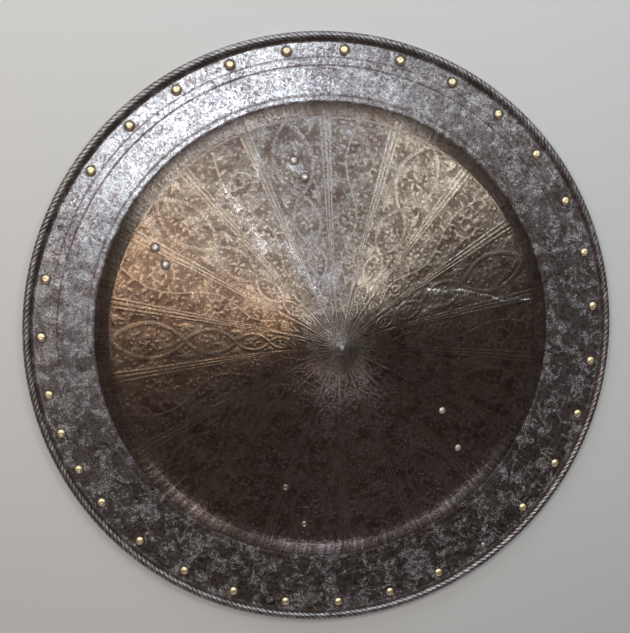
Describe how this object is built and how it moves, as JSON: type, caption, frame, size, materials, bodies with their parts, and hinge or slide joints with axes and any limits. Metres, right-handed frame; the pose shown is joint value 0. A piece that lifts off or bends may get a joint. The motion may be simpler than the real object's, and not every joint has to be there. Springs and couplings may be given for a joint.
{
  "type": "round steel shield",
  "caption": "Round domed steel shield with a flat brim, a roped rolled edge, brass lining rivets and two leather arm straps on its hollow back.",
  "frame": {"origin": "middle of the plane that the rolled edge rests on, with the shield lying face up", "axes": "+Z out of the face through the tip of the dome, +Y to the top of the shield as the picture shows it, +X to the right of its face"},
  "size_m": [0.58, 0.58, 0.1103],
  "materials": {
    "steel": "hammered and etched plate, worn bright on high places over dark brown patina",
    "brass": "pale worn caps with dark dirt round them",
    "iron": "forged rivet heads, dark and slightly rusted",
    "leather": "old brown strap leather, cracked and darkened"
  },
  "bodies": {
    "root": {"shield_plate": "steel", "lining_rivet_01": "brass", "lining_rivet_02": "brass", "lining_rivet_03": "brass", "lining_rivet_04": "brass", "lining_rivet_05": "brass", "lining_rivet_06": "brass", "lining_rivet_07": "brass", "lining_rivet_08": "brass", "lining_rivet_09": "brass", "lining_rivet_10": "brass", "lining_rivet_11": "brass", "lining_rivet_12": "brass", "lining_rivet_13": "brass", "lining_rivet_14": "brass", "lining_rivet_15": "brass", "lining_rivet_16": "brass", "lining_rivet_17": "brass", "lining_rivet_18": "brass", "lining_rivet_19": "brass", "lining_rivet_20": "brass", "lining_rivet_21": "brass", "lining_rivet_22": "brass", "lining_rivet_23": "brass", "lining_rivet_24": "brass", "lining_rivet_25": "brass", "lining_rivet_26": "brass", "lining_rivet_27": "brass", "lining_rivet_28": "brass", "lining_rivet_29": "brass", "lining_rivet_30": "brass", "bare_lining_rivet": "iron", "strap_rivet_1": "iron", "strap_rivet_2": "iron", "strap_rivet_3": "iron", "strap_rivet_4": "iron", "strap_rivet_5": "iron", "strap_rivet_6": "iron", "strap_rivet_7": "iron", "strap_rivet_8": "iron", "hand_strap": "leather", "forearm_strap": "leather"}
  },
  "joints": []
}
